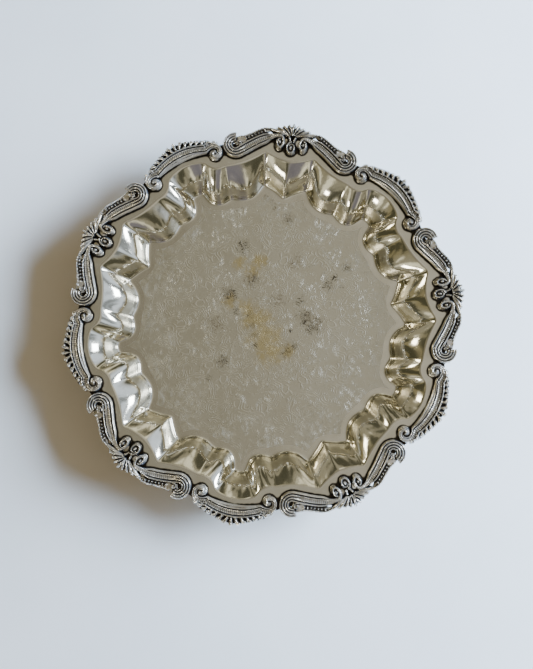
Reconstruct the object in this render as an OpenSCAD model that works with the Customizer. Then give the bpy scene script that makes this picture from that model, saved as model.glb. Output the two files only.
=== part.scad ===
// Round serving salver on a flat foot plane: a fluted dish with an applied border of five repeats.
// Each repeat is a shell, a scroll on each side of it and a C-scroll that leads to the next shell.
// Millimetres. The origin is the middle of the underside, +Z is up, and the first shell is on +Y.
// Angles run clockwise from +Y, seen from above.

/* [Dish] */
// width across the border, from shell tip to the scroll tip opposite
salver_d = 305; // [150:1:500]
// thickness of the rolled sheet
sheet_t = 1.2; // [0.8:0.1:2.5]
// height of the flange's top above the table
flange_z = 25.2; // [14:0.1:40]
// radius of the bend where the floor turns up into the wall
toe_bend_r = 2.5; // [1:0.1:5]
// steepness of the wall at its foot, in degrees
wall_foot_slope = 68; // [50:1:85]
// steepness of the wall where it meets the flange, in degrees
wall_top_slope = 34; // [5:1:45]
// how far the middle of each flute swells into the dish
flute_swell = 1.0; // [0:0.1:3]

/* [Border] */
// height of the tallest casting above the flange
relief_h = 5.8; // [3:0.1:9]
// height of the scroll bands above the flange
band_h = 4.4; // [2:0.1:8]
// height of the reed that runs along the crown of a band
reed_h = 0.8; // [0.3:0.1:1.5]
// height of the leaves and beads outside the bands
trim_h = 2.6; // [1:0.1:5]

/* [Hidden] */
repeats = 5;
repeat_angle = 360 / repeats;
size_k = salver_d / 305;

// One lobe of the wall runs from each corner to the next. The corners of half a repeat are listed,
// and the other half mirrors them. A bulge is positive where the lobe swells towards the middle.
toe_angles = [0, 8.9, 23.4, 33.6];
toe_radii = [100.4, 111.0, 102.6, 113.3] * size_k;
toe_bulges = [-0.7, 6.0, 6.8, -1.5] * size_k;
rim_angles = [0, 8.2, 22.5, 29.2];
rim_radii = [123.5, 130.0, 122.3, 129.2] * size_k;
rim_bulges = [1.0, 1.6, 3.0, -4.2] * size_k;
lobe_steps = [4, 5, 4, 4];
lobes = 7;
last_corner = lobes;

// outer edge of the flange: a circle that swings out under the shells and the C-scrolls
flange_mean_r = 142.5 * size_k;
flange_swing = 4.5 * size_k;

// rows of the wall's section
toe_rows = 2;
wall_rows = 5;

SIDES = ["right", "left"];

silver = [0.78, 0.76, 0.72];
dark_silver = [0.66, 0.63, 0.58];

// ---- Points and curves ----

function polar(r, angle) = [r * sin(angle), r * cos(angle)];
function lerp(a, b, t) = a + (b - a) * t;
function unit(v) = v / norm(v);
function left_of(v) = [-v.y, v.x];
function lift(p, z) = [p.x, p.y, z];
function turned(p, angle) = [
    p.x * cos(angle) + p.y * sin(angle),
    p.y * cos(angle) - p.x * sin(angle)
];

// cubic curve from p0 to p3 that leaves and arrives towards the two handles
function bezier(p0, p1, p2, p3, t) =
    let (s = 1 - t) p0 * s * s * s + p1 * 3 * s * s * t + p2 * 3 * s * t * t + p3 * t * t * t;

// point on an oval spiral: eye, half width and half height at the start, and the share left at its end
function spiral(eye, half, start, sweep, closing, t) =
    let (angle = start + sweep * t, k = lerp(1, closing, t))
    eye + [half.x * cos(angle), half.y * sin(angle)] * k;

// ---- Outlines of the dish ----

function mirrored_corner(i) = i < last_corner - i ? i : last_corner - i;
function corner_angle(angles, i) =
    i < last_corner - i ? angles[i] : repeat_angle - angles[last_corner - i];
function corner(angles, radii, i) = polar(radii[mirrored_corner(i)], corner_angle(angles, i));
function mirrored_lobe(i) = min(i, lobes - 1 - i);
function lobe_point(angles, radii, bulges, i, t) =
    let (
        p = corner(angles, radii, i),
        q = corner(angles, radii, i + 1),
        outward = unit(left_of(q - p))
    )
    lerp(p, q, t) - outward * bulges[mirrored_lobe(i)] * 4 * t * (1 - t);

// where the stations round the dish fall: [repeat, lobe, share of the lobe]
stations = [
    for (n = [0:repeats - 1])
        for (i = [0:lobes - 1])
            let (steps = lobe_steps[mirrored_lobe(i)])
            for (s = [0:steps - 1]) [n, i, s / steps]
];
around = len(stations);
toe = [for (s = stations) turned(lobe_point(toe_angles, toe_radii, toe_bulges, s[1], s[2]), s[0] * repeat_angle)];
rim = [for (s = stations) turned(lobe_point(rim_angles, rim_radii, rim_bulges, s[1], s[2]), s[0] * repeat_angle)];
swell = [for (s = stations) flute_swell * 4 * s[2] * (1 - s[2])];
outward = [
    for (i = [0:around - 1])
        let (
            before = (toe[(i + around - 1) % around] + rim[(i + around - 1) % around]) / 2,
            after = (toe[(i + 1) % around] + rim[(i + 1) % around]) / 2
        )
        unit(left_of(after - before))
];
function flange_edge(p) =
    let (angle = atan2(p.x, p.y))
    polar(flange_mean_r + flange_swing * cos(2 * repeats * angle), angle);

// ---- Section of the wall ----

toe_rise = toe_bend_r * (1 - cos(wall_foot_slope));
toe_reach = toe_bend_r * sin(wall_foot_slope);
wall_foot_z = sheet_t + toe_rise;
arc_width = sin(wall_foot_slope) - sin(wall_top_slope);
arc_height = cos(wall_top_slope) - cos(wall_foot_slope);
function wall_slope(t) = lerp(wall_foot_slope, wall_top_slope, t);
function wall_share(t) = (sin(wall_foot_slope) - sin(wall_slope(t))) / arc_width;
function wall_rise(t) = (cos(wall_slope(t)) - cos(wall_foot_slope)) / arc_height;

// the upper face: the bend at the foot, then the wall
function bend_point(i, t) =
    let (slope = wall_foot_slope * t, reach = toe_bend_r * sin(slope) - toe_reach / 2)
    lift(toe[i] + outward[i] * reach, sheet_t + toe_bend_r * (1 - cos(slope)));
function wall_point(i, t) =
    let (
        foot = toe[i] + outward[i] * toe_reach / 2,
        place = lerp(foot, rim[i], wall_share(t)) - outward[i] * swell[i] * sin(180 * t)
    )
    lift(place, lerp(wall_foot_z, flange_z, wall_rise(t)));

// the lower face follows the upper one at the sheet's thickness
function under(p, i, slope) =
    p + lift(outward[i] * sheet_t * sin(slope), -sheet_t * cos(slope));

upper_rows = concat(
    [for (t = [0:1 / toe_rows:1 - 0.01]) [for (i = [0:around - 1]) bend_point(i, t)]],
    [for (t = [0:1 / wall_rows:1.01]) [for (i = [0:around - 1]) wall_point(i, t)]],
    [[for (p = rim) lift(flange_edge(p), flange_z)]]
);
lower_rows = concat(
    [[for (p = rim) lift(flange_edge(p), flange_z - sheet_t)]],
    [[for (i = [0:around - 1]) wall_point(i, 1) - [0, 0, sheet_t]]],
    [
        for (t = [1 - 1 / wall_rows:-1 / wall_rows:-0.01])
            [for (i = [0:around - 1]) under(wall_point(i, t), i, wall_slope(t))]
    ],
    [
        for (t = [1 - 1 / toe_rows:-1 / toe_rows:-0.01])
            [for (i = [0:around - 1]) under(bend_point(i, t), i, wall_foot_slope * t)]
    ]
);
dish_rows = concat(upper_rows, lower_rows);
last_row = len(dish_rows) - 1;
dish_points = concat([for (row = dish_rows) each row], [[0, 0, sheet_t], [0, 0, 0]]);
floor_middle = len(dish_points) - 2;
under_middle = len(dish_points) - 1;

function row_point(row, i) = row * around + i % around;
dish_faces = concat(
    [
        for (row = [0:last_row - 1])
            for (i = [0:around - 1])
                [row_point(row, i), row_point(row + 1, i), row_point(row + 1, i + 1)]
    ],
    [
        for (row = [0:last_row - 1])
            for (i = [0:around - 1])
                [row_point(row, i), row_point(row + 1, i + 1), row_point(row, i + 1)]
    ],
    [for (i = [0:around - 1]) [floor_middle, row_point(0, i), row_point(0, i + 1)]],
    [for (i = [0:around - 1]) [under_middle, row_point(last_row, i + 1), row_point(last_row, i)]]
);

module dish() {
    color(silver)
        polyhedron(points = dish_points, faces = dish_faces, convexity = 6);
}

// ---- Parts of the border castings, each standing on the flange ----

// a pad with sloping sides
module pad(place, width, height, sides = 8) {
    translate(lift(place, flange_z))
        cylinder(d1 = width, d2 = width * 0.62, h = height, $fn = sides);
}

// a band through a list of places, each with its own width and height
module band(places, widths, heights) {
    for (i = [0:len(places) - 2])
        hull() {
            pad(places[i], widths[i], heights[i]);
            pad(places[i + 1], widths[i + 1], heights[i + 1]);
        }
}

// the reed along a band's crown
module crown_reed(places, heights) {
    reed_w = 1.7 * size_k;
    for (i = [0:len(places) - 2])
        hull()
            for (j = [i, i + 1])
                translate(lift(places[j], flange_z + heights[j] - reed_h))
                    cylinder(d1 = reed_w, d2 = reed_w * 0.4, h = 2 * reed_h, $fn = 4);
}

// a leaf that widens and then runs out to a blunt tip
module leaf(root, tip, width, height) {
    belly = lerp(root, tip, 0.6);
    hull() {
        pad(root, width * 0.4, height, 4);
        pad(belly, width, height * 0.9, 6);
        pad(tip, width * 0.35, height * 0.5, 4);
    }
}

module bead(place, d) {
    pad(place, d, trim_h, 6);
}

// ---- Shell: a bud below a fan of leaves ----

bud_place = [0, 133.1] * size_k;
bud_half = [4.3, 5.6] * size_k;
bud_taper = 0.4;
waist_place = [0, 140.0] * size_k;
fan_root = [0, 142.6] * size_k;
leaf_angles = [0, 36, 62, 78];
leaf_reaches = [9.2, 9.2, 11.4, 15.8] * size_k;
leaf_start = 1.4 * size_k;
leaf_w = 3.9 * size_k;
leaf_drop = 0.35;

module shell() {
    color(silver)
        union() {
            translate(lift(bud_place, flange_z))
                resize([2 * bud_half.x, 2 * bud_half.y, relief_h])
                    cylinder(d1 = 1, d2 = bud_taper, h = 1, $fn = 14);
            band([bud_place, waist_place, fan_root], [4, 5.4, 6.4] * size_k, [band_h, band_h * 0.8, band_h]);
            for (k = [0:len(leaf_angles) - 1])
                for (side = k == 0 ? [1] : [1, -1])
                    let (way = side * leaf_angles[k])
                    leaf(
                        fan_root + polar(leaf_start, way),
                        fan_root + polar(leaf_reaches[k], way),
                        leaf_w,
                        band_h - leaf_drop * k
                    );
        }
}

// ---- S-scroll: an oval volute by the bud, a band, and a round volute by the C-scroll ----

inner_eye = [8.95, 136.5] * size_k;
inner_half = [2.5, 4.4] * size_k;
outer_eye = [41.8, 129.8] * size_k;
outer_arc_r = 6.4 * size_k;
outer_start = 62;
outer_end = -130;
curl_steps = 5;
outer_curl = [
    for (i = [0:curl_steps])
        let (angle = lerp(outer_start, outer_end, i / curl_steps))
        outer_eye + [cos(angle), sin(angle)] * outer_arc_r
];
bridge_handle = 10 * size_k;
bridge_start = outer_curl[curl_steps];
bridge_end = inner_eye + [0, inner_half.y];
bridge_steps = 4;
bridge = [
    for (i = [1:bridge_steps - 1])
        bezier(
            bridge_start,
            bridge_start + [sin(outer_end), -cos(outer_end)] * bridge_handle,
            bridge_end + [bridge_handle, 0],
            bridge_end,
            i / bridge_steps
        )
];
inner_curl = [for (i = [0:curl_steps]) spiral(inner_eye, inner_half, 90, 330, 0.45, i / curl_steps)];
s_places = concat(outer_curl, bridge, inner_curl);
s_last = len(s_places) - 1;
small_eye = [38.8, 132.4] * size_k;
small_eye_w = 5 * size_k;
web_h = 2.2;
low_web_h = 1.6;
s_widths = [
    for (i = [0:s_last])
        let (t = i / s_last)
        size_k * (t < 0.5 ? lerp(5.6, 7.8, 2 * t) : max(2.6, lerp(7.8, 0.4, 2 * t - 1)))
];
s_heights = [for (i = [0:s_last]) band_h - 0.5 * abs(2 * i / s_last - 1)];
bead_start = [34.2, 135.6] * size_k;
bead_end = [24.2, 143.4] * size_k;
bead_d = 2.9 * size_k;
beads = 4;

// the crown's reed stops short of the inner volute, where the band is too narrow for it
reed_places = [1:s_last - 4];

module s_scroll() {
    color(dark_silver)
        union() {
            band(s_places, s_widths, s_heights);
            crown_reed([for (i = reed_places) s_places[i]], [for (i = reed_places) s_heights[i]]);
            pad(small_eye, small_eye_w, band_h);
            band([outer_eye, small_eye, bridge[0]], [9, 4, 4] * size_k, [web_h, web_h, web_h]);
            for (i = [0:beads - 1])
                bead(lerp(bead_start, bead_end, i / (beads - 1)), bead_d);
            band([bridge[1], lerp(bead_start, bead_end, 0.5)], [5, 4] * size_k, [low_web_h, low_web_h]);
            band([bead_start, bead_end], [1.6, 1.6] * size_k, [low_web_h, low_web_h]);
        }
}

// ---- C-scroll: an arched band with a volute at each end and a crest of leaves outside it ----

c_arc_r = 141.0 * size_k;
c_arc_half = 8.4;
c_arc_steps = 5;
c_eye = polar(132.6 * size_k, 11.0);
c_arc_end = polar(c_arc_r, c_arc_half);
c_curl_steps = 5;
c_curl_turn = 350;
c_curl_start = atan2(c_arc_end.y - c_eye.y, c_arc_end.x - c_eye.x);
c_curl_r = norm(c_arc_end - c_eye);
c_curl_least_r = 3.6 * size_k;
function c_curl_point(t) =
    let (angle = c_curl_start - c_curl_turn * t, r = c_curl_r * (0.16 + 0.84 * pow(1 - t, 2.2)))
    c_eye + [cos(angle), sin(angle)] * max(r, c_curl_least_r * (1 - 0.5 * t));
c_curl = [for (i = [1:c_curl_steps]) c_curl_point(i / c_curl_steps)];
c_arc = [for (i = [0:c_arc_steps]) polar(c_arc_r, lerp(-c_arc_half, c_arc_half, i / c_arc_steps))];
c_places = concat(
    [for (i = [c_curl_steps - 1:-1:0]) [-c_curl[i].x, c_curl[i].y]],
    c_arc,
    c_curl
);
c_last = len(c_places) - 1;
c_widths = [for (i = [0:c_last]) size_k * max(3.6, 9.2 - 7.8 * pow(abs(2 * i / c_last - 1), 1.7))];
c_heights = [for (i = [0:c_last]) band_h + 0.4 - 0.7 * abs(2 * i / c_last - 1)];
crest_leaves = 4;
crest_spacing = 2.15;
crest_root_r = 143.0 * size_k;
crest_peak_r = 151.6 * size_k;
crest_fall = 1.2 * size_k;
crest_leaf_w = 5.2 * size_k;
crest_h = trim_h + 0.9;

module c_scroll() {
    color(dark_silver)
        union() {
            band(c_places, c_widths, c_heights);
            crown_reed([for (i = [2:c_last - 2]) c_places[i]], [for (i = [2:c_last - 2]) c_heights[i]]);
            for (k = [-crest_leaves:crest_leaves])
                leaf(
                    polar(crest_root_r, k * crest_spacing),
                    polar(crest_peak_r - crest_fall * abs(k), k * crest_spacing),
                    crest_leaf_w,
                    crest_h
                );
        }
}

// ---- The whole salver ----

dish();
for (n = [1:repeats]) {
    rotate(-(n - 1) * repeat_angle) shell();
    rotate(-(n - 1) * repeat_angle) s_scroll();
    rotate(-(n - 1) * repeat_angle) mirror([1, 0, 0]) s_scroll();
    rotate(-(n - 0.5) * repeat_angle) c_scroll();
}
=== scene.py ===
"""A round silver salver: a fluted dish with an applied cast border of shells and scrolls.

All lengths in the dataclasses are in millimetres and are turned into metres where a mesh is made.
Angles run clockwise from +Y, seen from above, in degrees. The first shell lies on +Y.
"""

import logging
import math
from dataclasses import dataclass, field
from enum import Enum
from typing import Any, Iterable, Optional, Sequence

import bmesh
import bpy
import numpy as np
from mathutils import Matrix, Vector

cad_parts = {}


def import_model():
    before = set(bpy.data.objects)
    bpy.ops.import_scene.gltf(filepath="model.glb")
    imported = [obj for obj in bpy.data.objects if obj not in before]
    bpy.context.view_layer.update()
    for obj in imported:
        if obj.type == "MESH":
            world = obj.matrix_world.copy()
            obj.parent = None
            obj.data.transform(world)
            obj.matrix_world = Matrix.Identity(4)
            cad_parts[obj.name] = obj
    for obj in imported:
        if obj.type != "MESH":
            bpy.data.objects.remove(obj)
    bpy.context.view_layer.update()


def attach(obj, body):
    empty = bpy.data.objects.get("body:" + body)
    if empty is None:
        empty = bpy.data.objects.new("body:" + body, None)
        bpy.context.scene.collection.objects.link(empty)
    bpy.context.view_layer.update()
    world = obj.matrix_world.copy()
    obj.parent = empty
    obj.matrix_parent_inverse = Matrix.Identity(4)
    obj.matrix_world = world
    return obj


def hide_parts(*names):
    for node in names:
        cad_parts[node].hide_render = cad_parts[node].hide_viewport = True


log = logging.getLogger("salver")

MM = 0.001
REPEATS = 5
REPEAT_ANGLE = 360 / REPEATS
SPIRAL_PLACES = 60
CHASED_RING_SHARES = (0.004, 0.25, 0.5, 0.75, 0.9)
BODY = "root"

Points = np.ndarray


# ---------------------------------------------------------------- shared geometry


def polar(radius: Any, angle: Any) -> Points:
    """Places given by a radius and a clockwise angle from +Y.

    Args:
        radius: One radius or an array of them.
        angle: One angle in degrees or an array of them.

    Returns:
        The places, with x and y along the last axis.
    """
    turn = np.radians(angle)
    return np.stack(np.broadcast_arrays(radius * np.sin(turn), radius * np.cos(turn)), axis=-1)


def turned(places: Points, angle: float) -> Points:
    """Places turned clockwise about the middle of the dish.

    Args:
        places: Places with x and y along the last axis.
        angle: The turn in degrees.

    Returns:
        The turned places.
    """
    c, s = math.cos(math.radians(angle)), math.sin(math.radians(angle))
    x, y = places[..., 0], places[..., 1]
    return np.stack([x * c + y * s, y * c - x * s], axis=-1)


def unit(vectors: Points) -> Points:
    """Vectors of length one in the directions given."""
    return vectors / np.linalg.norm(vectors, axis=-1, keepdims=True)


def left_of(vectors: Points) -> Points:
    """Flat vectors turned a quarter turn to their left."""
    return np.stack([-vectors[..., 1], vectors[..., 0]], axis=-1)


def softened(loop: Points, passes: int) -> Points:
    """A closed loop with its corners eased.

    Args:
        loop: The places round the loop.
        passes: How many times each place moves towards its neighbours' middle.

    Returns:
        The eased loop.
    """
    for _ in range(passes):
        loop = 0.5 * loop + 0.25 * (np.roll(loop, 1, axis=0) + np.roll(loop, -1, axis=0))
    return loop


def lifted(places: Points, height: Any) -> Points:
    """Flat places raised to a height, or to a height each."""
    heights = np.broadcast_to(height, places.shape[:-1])
    return np.concatenate([places, heights[..., None]], axis=-1)


def bezier(p0: Points, p1: Points, p2: Points, p3: Points, count: int) -> Points:
    """A cubic curve from p0 to p3 that leaves and arrives towards the two handles.

    Args:
        p0: Where the curve starts.
        p1: The handle that it leaves towards.
        p2: The handle that it arrives from.
        p3: Where the curve ends.
        count: How many places to take on it, its start and end included.

    Returns:
        The places on the curve.
    """
    t = np.linspace(0, 1, count)[:, None]
    s = 1 - t
    return p0 * s**3 + 3 * p1 * s**2 * t + 3 * p2 * s * t**2 + p3 * t**3


def evenly(path: Points, step: float) -> Points:
    """The same path with its places an even step apart."""
    lengths = np.linalg.norm(np.diff(path, axis=0), axis=1)
    along = np.concatenate([[0], np.cumsum(lengths)])
    count = max(4, int(along[-1] / step) + 1)
    wanted = np.linspace(0, along[-1], count)
    return np.stack([np.interp(wanted, along, path[:, k]) for k in range(2)], axis=1)


def spiral(eye: Points, half: Sequence[float], start: float, sweep: float, end: float) -> Points:
    """An oval spiral's places.

    Args:
        eye: Its middle.
        half: Its half width and half height at the start.
        start: The angle at its start, anticlockwise from +X in degrees.
        sweep: How far it turns, in degrees.
        end: The share of its size left at the end.

    Returns:
        The places.
    """
    t = np.linspace(0, 1, SPIRAL_PLACES)
    angle = np.radians(start + sweep * t)
    size = 1 + (end - 1) * t
    return np.stack([eye[0] + half[0] * size * np.cos(angle), eye[1] + half[1] * size * np.sin(angle)], axis=1)


def profile(shares: Points, knots: Sequence[tuple[float, float]]) -> Points:
    """A value along a path, smoothly joined from a few knots.

    Args:
        shares: Where on the path each value is wanted, from 0 to 1.
        knots: Pairs of a share and the value there.

    Returns:
        The values at the shares.
    """
    at = np.array([k[0] for k in knots])
    value = np.array([k[1] for k in knots])
    low = np.clip(np.searchsorted(at, shares, side="right") - 1, 0, len(at) - 2)
    t = np.clip((shares - at[low]) / (at[low + 1] - at[low]), 0, 1)
    ease = t * t * (3 - 2 * t)
    return value[low] * (1 - ease) + value[low + 1] * ease


# ---------------------------------------------------------------- shared modelling


def nothing_selected() -> None:
    """Leaves every object unselected, in object mode."""
    if bpy.context.object and bpy.context.object.mode != "OBJECT":
        bpy.ops.object.mode_set(mode="OBJECT")
    bpy.ops.object.select_all(action="DESELECT")


def only(piece: bpy.types.Object) -> bpy.types.Object:
    """Selects one object alone and makes it the active one."""
    nothing_selected()
    piece.select_set(True)
    bpy.context.view_layer.objects.active = piece
    return piece


def loft(name: str, rings: Sequence[Points]) -> bpy.types.Object:
    """A closed skin drawn through rings by extruding the first one from each to the next.

    Args:
        name: The new piece's name.
        rings: Rings of places in millimetres, all with the same number of places.

    Returns:
        The new piece, with its faces pointing outwards.
    """
    nothing_selected()
    bpy.ops.mesh.primitive_circle_add(vertices=len(rings[0]), radius=MM, fill_type="NGON")
    piece = bpy.context.object
    piece.name = name
    move_vertices(piece, rings[0])
    bpy.ops.object.mode_set(mode="EDIT")
    bpy.ops.mesh.select_all(action="SELECT")
    for ring in rings[1:]:
        bpy.ops.mesh.extrude_region_move()
        edit = bmesh.from_edit_mesh(piece.data)
        edit.verts.ensure_lookup_table()
        first = len(edit.verts) - len(ring)
        for k, place in enumerate(ring * MM):
            edit.verts[first + k].co = place
    bpy.ops.mesh.select_all(action="SELECT")
    bpy.ops.mesh.normals_make_consistent(inside=False)
    bpy.ops.object.mode_set(mode="OBJECT")
    return piece


def finished_with(piece: bpy.types.Object, kind: str, **settings: Any) -> None:
    """Adds a modifier to a piece, sets it and applies it.

    Args:
        piece: The piece to finish.
        kind: The modifier's type.
        **settings: Values for the modifier's properties.
    """
    only(piece)
    modifier = piece.modifiers.new(kind.title(), kind)
    for key, value in settings.items():
        setattr(modifier, key, value)
    bpy.ops.object.modifier_apply(modifier=modifier.name)


def store(piece: bpy.types.Object, name: str, values: Points) -> None:
    """Keeps one number for each of a piece's vertices under an attribute's name."""
    attribute = piece.data.attributes.new(name, "FLOAT", "POINT")
    attribute.data.foreach_set("value", values.astype(np.float32))


def coordinates(piece: bpy.types.Object) -> Points:
    """A piece's vertices in millimetres, one row each."""
    flat = np.empty(len(piece.data.vertices) * 3, dtype=np.float32)
    piece.data.vertices.foreach_get("co", flat)
    return flat.reshape(-1, 3) / MM


def move_vertices(piece: bpy.types.Object, places: Points) -> None:
    """Puts a piece's vertices at places in millimetres, one row each."""
    piece.data.vertices.foreach_set("co", (places * MM).astype(np.float32).ravel())


# ---------------------------------------------------------------- finishes


class Tint(Enum):
    """Colours of the salver's surfaces and of the studio, in linear light."""

    SILVER = (0.82, 0.79, 0.70)
    DULL_SILVER = (0.74, 0.705, 0.60)
    WORN_SILVER = (0.90, 0.885, 0.845)
    GREYED_SILVER = (0.66, 0.63, 0.57)
    WASHED_SILVER = (0.68, 0.645, 0.545)
    CLOUDED_SILVER = (0.74, 0.71, 0.62)
    # pale silver for a painted highlight along the chased lines
    CUT_LINE_GLINT = (0.90, 0.885, 0.83)
    FROST = (0.86, 0.87, 0.88)
    PATINA = (0.66, 0.565, 0.41)
    # darker brown silver: painted shade on the castings towards one side of the salver
    SHADED_SIDE_SILVER = (0.46, 0.415, 0.335)
    # near-black for the oxide in the castings' hollows, and for painted shade at their foot and on the flange
    # beside them
    OXIDE_AND_SHADE = (0.040, 0.033, 0.026)
    BROWN_TARNISH = (0.16, 0.105, 0.055)
    AMBER_STAIN = (0.55, 0.42, 0.14)
    RESIDUE = (0.045, 0.032, 0.018)
    PALE = (0.56, 0.515, 0.435)
    PALE_CLOUD = (0.61, 0.555, 0.465)
    ROOM_LEFT = (0.235, 0.217, 0.165)
    ROOM_MIDDLE = (0.58, 0.555, 0.475)
    ROOM_FAR_RIGHT = (0.42, 0.44, 0.45)
    ROOM_FAR_LEFT = (0.29, 0.25, 0.135)
    ROOM_NEAR = (0.34, 0.32, 0.235)
    ROOM_BEYOND = (0.35, 0.325, 0.23)
    ROOM_DARK = (0.05, 0.05, 0.03)
    ROOM_LIT = (1.15, 1.10, 0.84)
    WINDOW_PANE = (0.95, 1.09, 1.28)
    STANDING_SHADE = (0.21, 0.20, 0.235)
    BACKDROP = (0.60, 0.62, 0.64)

    @property
    def rgba(self) -> tuple[float, float, float, float]:
        """The colour with full opacity."""
        return (*self.value, 1.0)


class Sheet:
    """A node tree that is being filled, with short ways to add and join its nodes."""

    def __init__(self, tree: bpy.types.NodeTree) -> None:
        """Starts on a tree, which may be a material's, a world's or a group's."""
        self.tree = tree

    def add(self, kind: str, inputs: Optional[dict[Any, Any]] = None, **settings: Any) -> bpy.types.Node:
        """Adds a node.

        Args:
            kind: The node's type name, without its ShaderNode prefix.
            inputs: What goes into its sockets: a value, or another node's output socket.
            **settings: Values for the node's own properties.

        Returns:
            The new node.
        """
        node = self.tree.nodes.new(kind if kind.startswith("Node") else f"ShaderNode{kind}")
        for key, value in settings.items():
            setattr(node, key, value)
        for key, value in (inputs or {}).items():
            self.feed(node.inputs[key], value)
        return node

    def feed(self, socket: bpy.types.NodeSocket, value: Any) -> None:
        """Links another node's output to a socket, or sets its value."""
        if isinstance(value, bpy.types.NodeSocket):
            self.tree.links.new(value, socket)
        else:
            socket.default_value = value

    def math(self, operation: str, *values: Any, clamp: bool = False) -> bpy.types.NodeSocket:
        """The result of a Math node on the values or sockets given."""
        node = self.add("Math", dict(enumerate(values)), operation=operation, use_clamp=clamp)
        return node.outputs[0]

    def times(self, first: Any, second: Any, clamp: bool = False) -> bpy.types.NodeSocket:
        """The product of two values."""
        return self.math("MULTIPLY", first, second, clamp=clamp)

    def stored(self, name: str) -> bpy.types.NodeSocket:
        """The number kept under a name on the piece's own vertices."""
        return self.add("Attribute", attribute_name=name).outputs["Fac"]

    def own_place(self) -> bpy.types.NodeSocket:
        """The place on the piece, in the piece's own coordinates."""
        return self.add("TexCoord").outputs["Object"]

    def coat(self, shader: bpy.types.Node, colour: Any, rough: Any, metallic: float) -> None:
        """Feeds a shader's colour, roughness and metalness."""
        for socket, value in (("Base Color", colour), ("Roughness", rough), ("Metallic", metallic)):
            self.feed(shader.inputs[socket], value)

    def emboss(self, shader: bpy.types.Node, height: Any, strength: float, distance: float) -> None:
        """Feeds a shader's normal with a bump."""
        inputs = {"Height": height, "Strength": strength, "Distance": distance}
        self.feed(shader.inputs["Normal"], self.add("Bump", inputs).outputs[0])

    def vector(self, operation: str, *values: Any) -> bpy.types.NodeSocket:
        """The result of a Vector Math node on the values or sockets given."""
        node = self.add("VectorMath", dict(enumerate(values)), operation=operation)
        return node.outputs["Value" if operation in ("LENGTH", "DISTANCE", "DOT_PRODUCT") else "Vector"]

    def mix(self, share: Any, first: Any, second: Any) -> bpy.types.NodeSocket:
        """A colour between two colours by a share."""
        node = self.add("Mix", data_type="RGBA")
        for key, value in ((0, share), (6, first), (7, second)):
            self.feed(node.inputs[key], value)
        return node.outputs[2]

    def ease(
        self, value: Any, low: float, high: float, start: float = 0.0, end: float = 1.0
    ) -> bpy.types.NodeSocket:
        """A value carried smoothly from one range to another."""
        inputs = {"Value": value, "From Min": low, "From Max": high, "To Min": start, "To Max": end}
        return self.add("MapRange", inputs, interpolation_type="SMOOTHSTEP").outputs[0]

    def noise(
        self, place: Any, scale: float, detail: float = 2.0, rough: float = 0.5
    ) -> bpy.types.NodeSocket:
        """A noise value from 0 to 1 at a place."""
        inputs = {"Vector": place, "Scale": scale, "Detail": detail, "Roughness": rough}
        return self.add("TexNoise", inputs).outputs[0]


def new_group(name: str, inputs: dict[str, str], outputs: dict[str, str]) -> tuple[Sheet, Any, Any]:
    """An empty shader group with its sockets.

    Args:
        name: The group's name.
        inputs: Socket names and types that go in.
        outputs: Socket names and types that come out.

    Returns:
        The group's sheet, its input node and its output node.
    """
    tree = bpy.data.node_groups.new(name, "ShaderNodeTree")
    for direction, sockets in (("INPUT", inputs), ("OUTPUT", outputs)):
        for socket, kind in sockets.items():
            tree.interface.new_socket(name=socket, in_out=direction, socket_type=f"NodeSocket{kind}")
    sheet = Sheet(tree)
    return sheet, sheet.add("NodeGroupInput"), sheet.add("NodeGroupOutput")


def chasing_group() -> bpy.types.NodeTree:
    """The pattern chased into the well: whorls and leafy curls that mirror twice in each repeat.

    Returns:
        A group that takes a place and gives the cut lines' depth, from 0 to 1.
    """
    sheet, start, end = new_group("chased_pattern", {"Place": "Vector"}, {"Cut": "Float"})
    split = sheet.add("SeparateXYZ", {0: start.outputs[0]})
    angle = sheet.math("ARCTAN2", split.outputs[0], split.outputs[1])
    fold = sheet.math("PINGPONG", angle, math.radians(REPEAT_ANGLE / 2))
    flat = sheet.add("CombineXYZ", {0: split.outputs[0], 1: split.outputs[1]}).outputs[0]
    radius = sheet.vector("LENGTH", flat)
    x = sheet.times(radius, sheet.math("SINE", fold))
    y = sheet.times(radius, sheet.math("COSINE", fold))
    place = sheet.add("CombineXYZ", {0: x, 1: y, 2: 0.31}).outputs[0]
    sway = sheet.add("TexNoise", {"Vector": place, "Scale": 110.0, "Detail": 1.0}).outputs["Color"]
    swayed = sheet.vector("ADD", place, sheet.vector("MULTIPLY", sway, (0.009, 0.009, 0.0)))
    contour = sheet.math("SINE", sheet.times(sheet.noise(swayed, 116.0, 1.0, 0.4), 150.0))
    lines = sheet.ease(contour, 0.1, 0.95)
    cells = sheet.add("TexVoronoi", {"Vector": swayed, "Scale": 92.0, "Randomness": 0.9})
    rings = sheet.math("SINE", sheet.times(cells.outputs["Distance"], 46.0))
    whorl = sheet.ease(rings, 0.1, 0.95)
    choice = sheet.ease(sheet.noise(place, 48.0, 1.0), 0.47, 0.55)
    pattern = sheet.add("Mix", {0: choice, 2: lines, 3: whorl}).outputs[0]
    broken = sheet.ease(sheet.noise(place, 150.0, 2.0), 0.36, 0.56)
    sheet.feed(end.inputs[0], sheet.times(pattern, broken))
    return sheet.tree


def patch_group() -> bpy.types.NodeTree:
    """A ragged patch about a place, for stains, residue and ring marks.

    Returns:
        A group that takes a place, a centre, a reach and a grain, and gives the patch's cover there.
    """
    inputs = {"Place": "Vector", "Centre": "Vector", "Reach": "Float", "Grain": "Float"}
    sheet, start, end = new_group("ragged_patch", inputs, {"Cover": "Float"})
    place, centre, reach, grain = (start.outputs[k] for k in range(4))
    away = sheet.math("DIVIDE", sheet.vector("DISTANCE", place, centre), reach)
    rag = sheet.noise(place, grain, 4.0, 0.62)
    body = sheet.math("SUBTRACT", sheet.times(rag, 2.4), sheet.times(away, 1.25))
    sheet.feed(end.inputs[0], sheet.ease(body, 0.05, 1.1))
    return sheet.tree


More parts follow.
